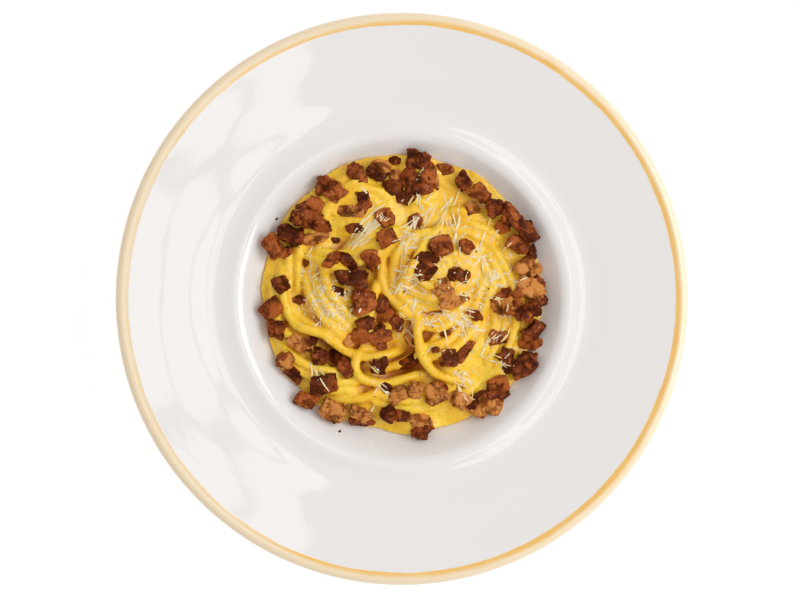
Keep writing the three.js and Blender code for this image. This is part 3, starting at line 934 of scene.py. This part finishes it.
def makeChips(materials, chunk):       # each chip is its solid with torn flakes grown into it
    slots = {part["node"]: part["material_slot"] for part in frame["record"]["subparts"]}
    made = []
    for number, name in enumerate(chipNames()):
        spin = random.Random(300 + number)
        solid = copyNode(name, name.replace("_", "Piece"))
        corners = getVertices(solid) / mm
        middle = corners.mean(axis=0)
        parts = [solid]
        for _ in range(chip["flakes"]):
            arm = corners[spin.randrange(len(corners))] - middle
            least, outward, inward = chip["flakeReach"]       # less far towards the plate's edge
            most = outward if arm[:2] @ middle[:2] > 0 else inward
            reach = (spin.uniform(least, most), spin.uniform(least, most), spin.uniform(*chip["flakeRise"]))
            place = middle + arm * reach
            away = math.hypot(arm[0], arm[1])
            size = (away * spin.uniform(*chip["flakeLong"]), away * spin.uniform(*chip["flakeWide"]),
                    spin.uniform(*chip["flakeThickness"]))
            lean = [spin.uniform(-chip["flakeLean"], chip["flakeLean"]) for _ in range(2)]
            normal = Vector((*lean, 1)).normalized()
            parts.append(copyChunk(chunk, "flake", size, spin.uniform(0, 180), place, normal, spin))
        obj = joinObjects(parts, solid.name)
        finishMeat(obj, materials[slots[name]], number)
        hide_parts(name)
        made.append(obj)
    print("guanciale:", len(made), "chips,", sum(len(obj.data.polygons) for obj in made), "faces")
    return made


def makeCrust(name, dark, light, share):
    constants = {"IOR": 1.4, "Specular IOR Level": 0.12, "Coat Roughness": 0.1, "Subsurface Weight": 0.1,
                 "Subsurface Scale": 1.5 * mm, "Subsurface Radius": (1.0, 0.4, 0.15)}
    material, shader, place = newMaterial(name.replace("_", "Crust"), constants)
    crest = place.attribute("crest")
    broad = place.noise(75, 3, 0.5)
    patch = place.noise(300, 4, 0.6)
    speck = place.noise(1500, 3, 0.7)
    # painted light: the crests come out a little lighter
    mixed = (patch + (broad - 0.5) * 1.1 + (crest - 0.5) * 0.3 + share - 0.45).step(0.34, 0.68)
    colour = place.mix(mixed, dark, light)
    # painted highlight: pale specks on the crests stand in for tiny glints
    colour = place.mix(speck.step(0.58, 0.72) * crest * 0.5, colour, crust["speck"])
    # painted shade in the pits of the fine bump and where the skin lies low between crests
    colour = place.mix((1 - speck).step(0.56, 0.72) * 0.45, colour, crust["creviceShade"])
    colour = place.mix((1 - crest).step(0.45, 0.85) * 0.65, colour, crust["creviceShade"])
    glint = speck.step(*crust["glint"]) * crest.step(0.3, 0.7)
    ridged = patch.bump(0.5 * mm, 0.7)
    pitted = speck.bump(0.35 * mm, 1, ridged)
    connect(shader, colour=colour, coat=glint, roughness=0.35 + 0.3 * patch, normal=pitted)
    return material


bits = {       # place, length, width, turn
    "guanciale_dark": [
        (-40, 35, 11, 5, -10), (-22, 33.5, 7.5, 4, 10), (-31.5, 28, 3, 2, 0), (-3.5, 66, 4.5, 3, 10),
        (-4, 52.5, 7.5, 6.5, 30), (1, 48, 8, 5, -25), (65, 8.5, 6.5, 3.5, -75), (67, -1, 5.5, 4, 20),
        (16, -24, 3, 2.5, 0), (50.5, -33, 5.5, 4, 15), (46.5, -46, 9.5, 4.2, -5), (35.5, -48, 9.5, 4, 50),
        (3.5, -30, 9, 4.5, 30), (-7.5, -41.5, 4, 4, 20), (-19, -58.5, 9, 4.7, 10),
        (-57.5, -29, 6.5, 4, 60), (-51.5, -35.5, 7.5, 5.5, -45), (-31, -27, 7, 6, 20),
        (-42.5, -21, 8, 3.2, 60), (-26.5, 18.5, 10, 5.5, -20), (-30, 3.5, 8, 4, -15),
        (-9, -2.5, 7.5, 6.5, 35), (-8.5, -14.5, 5, 4, 0), (3, 59, 7, 5, 40), (-47, 44, 6, 4, 30),
        (53, 38, 8, 6, -45), (62, 22, 6, 4, -60),
    ],
    "guanciale_brown": [
        (20.5, 61.5, 5.5, 5, 25), (6, 37, 5.5, 5, 15), (35, -8, 4.5, 4.5, 20), (29, -25, 9, 5.5, 70),
        (20.5, -16, 4, 2.3, 10), (19.5, -41, 3.5, 3, 0), (-11.5, -18, 8, 6.5, 30), (13, 59, 8, 6, 50),
        (12, 19, 8, 6, -30), (-31, 50, 7, 5, 40), (52, -4, 7, 5, 60),
    ],
    "guanciale_red": [
        (48, 34.5, 6.5, 6, 10), (55.5, 3, 5, 4, 30), (62, -21.5, 9.5, 5, 0), (-49, -0.5, 5, 4, 20),
        (-32.5, 18.5, 8.5, 5.5, 70), (-7.5, -8.5, 7, 6, 15), (-19.5, -17, 7.5, 7, 30),
        (-10, -22, 5, 4, 10), (51, 38.5, 6, 5, -30), (-48, 38, 7, 4.5, 10), (60, -8.5, 6, 5, -20),
        (-55, 22, 6, 4.5, 40),
    ],
    "guanciale_amber": [
        (-41, 29, 11, 5, 20), (-24.5, 41.5, 12, 4.5, 5), (-9.5, 62.5, 7, 6.5, 35), (-3, 58.5, 5, 5, 0),
        (15.5, 57.5, 10.5, 2, -70), (25, -1.5, 13, 4, 12), (33, 42.5, 5.5, 5, 30), (48.5, -4, 9.5, 6, 10),
        (45, -51, 7.5, 5.5, 60), (-1.5, -45.5, 8, 6.5, 20), (9, -58, 9, 5, -10), (-24.5, -19.5, 6, 5, 40),
        (4.5, -19.5, 6, 5, 10), (63, 13, 6, 5, 20),
    ],
}
bit = {"thickness": (1.9, 3.4), "share": 0.45, "sink": 0.9, "margin": 1.15, "clear": 0.9}


def slopeAt(smooth, x, y):
    reach = 2.0
    across = (readGrid(smooth, x + reach, y) - readGrid(smooth, x - reach, y)) / (2 * reach)
    along = (readGrid(smooth, x, y + reach) - readGrid(smooth, x, y - reach)) / (2 * reach)
    return Vector((-float(across), -float(along), 1)).normalized()


def makeBits(materials, chunk, surface):
    smooth = blurred(surface, 1.6)
    spin = random.Random(21)
    made = []
    for number, (slot, rows) in enumerate(bits.items()):
        parts = []
        for x, y, long, wide, turn in rows:
            thick = min(max(bit["share"] * wide, bit["thickness"][0]), bit["thickness"][1])
            normal = slopeAt(smooth, x, y)
            place = Vector((x, y, float(readGrid(smooth, x, y)))) + normal * (thick / 2 - bit["sink"])
            place.z = min(place.z, plate["height"] - thick / 2 - bit["clear"])
            size = (long * bit["margin"], wide * bit["margin"], thick)
            parts.append(copyChunk(chunk, "bit", size, turn, place, normal, spin))
        obj = joinObjects(parts, slot.replace("_", "Bits"))
        finishMeat(obj, materials[slot], 100 + number)
        made.append(obj)
    print("guanciale:", sum(len(rows) for rows in bits.values()), "smaller bits")
    return made


# grated cheese: thin curved shreds in drifts, each bent over what it lies on

cheese = {
    "stations": 6, "width": (0.5, 1.05), "thickness": 0.34, "taper": 0.75, "thinEnd": 0.4, "stubby": 0.45,
    "curl": 0.5, "roll": 0.6, "lift": (-0.3, 0.1), "bend": (0.1, 0.2, 0.4, 0.2, 0.1), "scatter": 0.62,
    "reach": 60, "meatHeight": 0.7, "overMeat": 0.07,
    "white": rgba(255, 240, 200), "melted": rgba(255, 218, 120),
    "drifts": [        # middle, spread and its turn, how many, lengths, heading and how far it strays
        ((-22, 28.5), (11, 3.2), 45, 34, (8, 15), 43, 14),
        ((-37, -5), (8.5, 9), 0, 44, (2.5, 7), 0, 180),
        ((1.5, 8), (8, 8), 0, 44, (3, 9), 20, 70),
        ((37, 13), (15, 22), 0, 80, (3, 9), 50, 70),
        ((26, -8), (8, 6), -30, 50, (4, 12), -50, 50),
        ((28, -39), (5, 7), 0, 22, (4, 11), -60, 35),
        ((-41, -33), (2, 6), 25, 6, (5, 12), -60, 25),
        ((-12, -36.5), (4, 10), 0, 14, (4, 9), -70, 50),
        ((-19, 59), (2, 9), 0, 4, (4, 8), -60, 20),
        ((13.5, 33), (16, 11), 0, 50, (5, 12), 60, 50),
        ((44, -24), (10, 11), 0, 36, (4, 10), 30, 70),
        ((8, -10), (8, 9), 0, 26, (4, 9), 0, 80),
        ((-43, 13), (5, 8), 0, 10, (4, 9), 70, 60),
        ((-1, 26), (8, 8), 0, 20, (5, 11), 30, 60),
        ((30, 5), (20, 24), 0, 420, (0.8, 2.4), 0, 180),
        ((-32, 0), (12, 14), 0, 300, (0.8, 2.4), 0, 180),
    ],
}


def makeShred():       # one shred of one unit, thinner towards both ends
    deselectAll()
    bpy.ops.mesh.primitive_cube_add(size=1, location=(0, 0, 0))
    obj = bpy.context.object
    obj.name = "shred"
    bpy.ops.object.mode_set(mode="EDIT")
    bpy.ops.mesh.select_mode(type="EDGE")
    bpy.ops.mesh.select_all(action="DESELECT")
    bpy.ops.object.mode_set(mode="OBJECT")
    for edge in obj.data.edges:
        first, second = (obj.data.vertices[i].co for i in edge.vertices)
        edge.select = abs(first.x - second.x) > 0.5
    bpy.ops.object.mode_set(mode="EDIT")
    bpy.ops.mesh.subdivide(number_cuts=cheese["stations"] - 2)
    bpy.ops.mesh.select_mode(type="VERT")
    bpy.ops.object.mode_set(mode="OBJECT")
    for vertex in obj.data.vertices:
        narrow = 1 - cheese["taper"] * abs(2 * vertex.co.x) ** 3
        vertex.co.y *= narrow
        vertex.co.z *= cheese["thinEnd"] + (1 - cheese["thinEnd"]) * narrow
    return obj


def makeCheese(surface, bare):       # bare is the heap alone, without the meat
    shred = makeShred()
    base = getVertices(shred)
    faces = np.array([face.vertices[:] for face in shred.data.polygons])
    spin = np.random.default_rng(4)
    last = cheese["stations"] - 1
    stations = np.linspace(-0.5, 0.5, last + 1)
    place = np.clip((base[:, 0] + 0.5) * last, 0, last).round().astype(int)
    top = surface.copy()
    shapes, shades = [], []
    for middle, spread, turn, count, length, heading, stray in cheese["drifts"]:
        turnX, turnY = math.cos(math.radians(turn)), math.sin(math.radians(turn))
        for _ in range(count):
            u, v = spin.normal(0, cheese["scatter"], 2) * spread
            x = middle[0] + u * turnX - v * turnY
            y = middle[1] + u * turnY + v * turnX
            onMeat = float(readGrid(surface, x, y) - readGrid(bare, x, y)) > cheese["meatHeight"]
            if math.hypot(x, y) > cheese["reach"] or (onMeat and spin.random() > cheese["overMeat"]):
                continue
            long = spin.uniform(*length)
            direction = math.radians(heading + spin.uniform(-1, 1) * stray)
            bend = direction + spin.normal(0, cheese["curl"]) * stations
            roll = spin.uniform(-cheese["roll"], cheese["roll"])
            wide = min(spin.uniform(*cheese["width"]), cheese["stubby"] * long)
            lineX = x + long * np.concatenate([[0], np.cumsum(np.cos(bend[1:]) / last)])
            lineY = y + long * np.concatenate([[0], np.cumsum(np.sin(bend[1:]) / last)])
            ground = readGrid(top, lineX, lineY)
            eased = np.convolve(np.pad(ground, 2, mode="edge"), cheese["bend"], mode="valid")
            line = np.maximum(ground, eased) + spin.uniform(*cheese["lift"])
            np.maximum.at(top, gridIndex(lineX, lineY), line + cheese["thickness"] / 2)

            across = base[:, 1] * wide
            lift = base[:, 2] * cheese["thickness"]
            flat = across * math.cos(roll) - lift * math.sin(roll)
            shapes.append(np.stack([
                lineX[place] - flat * np.sin(bend[place]), lineY[place] + flat * np.cos(bend[place]),
                line[place] + across * math.sin(roll) + lift * math.cos(roll)], axis=1))
            shades.append(spin.random())
    bpy.data.objects.remove(shred)
    obj = newScatter("gratedCheese", shapes, faces, shades)
    smoothShade(obj, 50)
    obj.data.materials.append(makeCheeseMaterial())
    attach(obj, "root")
    print("cheese:", len(shapes), "shreds")


def makeCheeseMaterial():
    constants = {"IOR": 1.42, "Subsurface Weight": 0.3, "Subsurface Scale": 1.2 * mm,
                 "Subsurface Radius": (1.0, 0.85, 0.6)}
    material, shader, place = newMaterial("gratedCheese", constants)
    shade = place.attribute("shade")
    speck = place.noise(600, 3, 0.6)
    melt = (shade * 0.8 + (place.noise(120, 3) - 0.5) * 0.9).step(0.2, 0.95)
    colour = place.mix(melt, cheese["white"], cheese["melted"])
    connect(shader, colour=colour, roughness=0.45 + 0.2 * speck, normal=speck.bump(0.15 * mm, 0.6))
    return material


# coarse black pepper and tiny crumbs of crust

pepper = {
    "count": 70, "size": (0.4, 1.0), "flat": (0.7, 1.1), "lumps": (0.75, 1.2), "raise": 0.1, "reach": 62,
    "colour": (rgba(40, 26, 16), rgba(96, 50, 26)),
}


def makePepper(surface):
    deselectAll()
    bpy.ops.mesh.primitive_ico_sphere_add(subdivisions=1, radius=0.5, location=(0, 0, 0))
    grain = bpy.context.object
    base = getVertices(grain)
    faces = np.array([face.vertices[:] for face in grain.data.polygons])
    bpy.data.objects.remove(grain)
    spin = np.random.default_rng(9)
    shapes, shades = [], []
    while len(shapes) < pepper["count"]:
        x, y = spin.uniform(-pepper["reach"], pepper["reach"], 2)
        if math.hypot(x, y) > pepper["reach"]:
            continue
        size = spin.uniform(*pepper["size"]) * spin.uniform(*pepper["flat"], 3)
        middle = (x, y, float(readGrid(surface, x, y)) + pepper["raise"] * size[2])
        shapes.append(base * spin.uniform(*pepper["lumps"], (len(base), 1)) * size + middle)
        shades.append(spin.random())
    obj = newScatter("pepperGrains", shapes, faces, shades)
    material, shader, place = newMaterial("crackedPepper", {"Roughness": 0.6})
    shade = place.attribute("shade")
    colour = place.mix((shade + (place.noise(900, 2) - 0.5) * 0.5).step(0.45, 0.7), *pepper["colour"])
    connect(shader, colour=colour, normal=place.noise(2500, 2).bump(0.1 * mm, 0.7))
    obj.data.materials.append(material)
    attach(obj, "root")
    print("pepper:", len(shapes), "grains")


plateCrumbs = [(-59.5, 38, 1.5, 1.0, 60), (-29.5, -63, 1.3, 1.1, 10), (68, -12.5, 0.9, 0.7, 30)]
crumbRaise = 0.3       # a share of each crumb's width


def makePlateCrumbs(chunk, surface, materials):       # the crumbs have the same five values as the bits
    smooth = blurred(surface, 1.0)
    spin = random.Random(8)
    parts = []
    for x, y, long, wide, turn in plateCrumbs:
        place = (x, y, float(readGrid(surface, x, y)) + crumbRaise * wide)
        parts.append(copyChunk(chunk, "crumb", (long, wide, wide), turn, place, slopeAt(smooth, x, y), spin))
    obj = joinObjects(parts, "crumbsOnPlate")
    applyModifier(obj, "SUBSURF", levels=1, render_levels=1)
    obj.data.materials.append(materials["guanciale_red"])
    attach(obj, "root")
    print("crumbs:", len(parts), "on the plate")


makeCamera()
makeLights()
makeFloor()
print("stage: camera, lights and floor")
plateObject = makePlate()
print("plate:", len(plateObject.data.polygons), "faces")
heapObject = makeHeap()
crusts = {slot: makeCrust(slot, *values) for slot, values in tones.items()}
chunk = makeChunk()
chipObjects = makeChips(crusts, chunk)
bare = gridHeights(surfaceOf([plateObject, heapObject]), wellHeights())
bitObjects = makeBits(crusts, chunk, gridHeights(surfaceOf(chipObjects), bare))
surface = gridHeights(surfaceOf([*chipObjects, *bitObjects]), bare)
makeCheese(surface, bare)
makePepper(surface)
makePlateCrumbs(chunk, surface, crusts)
bpy.data.objects.remove(chunk)
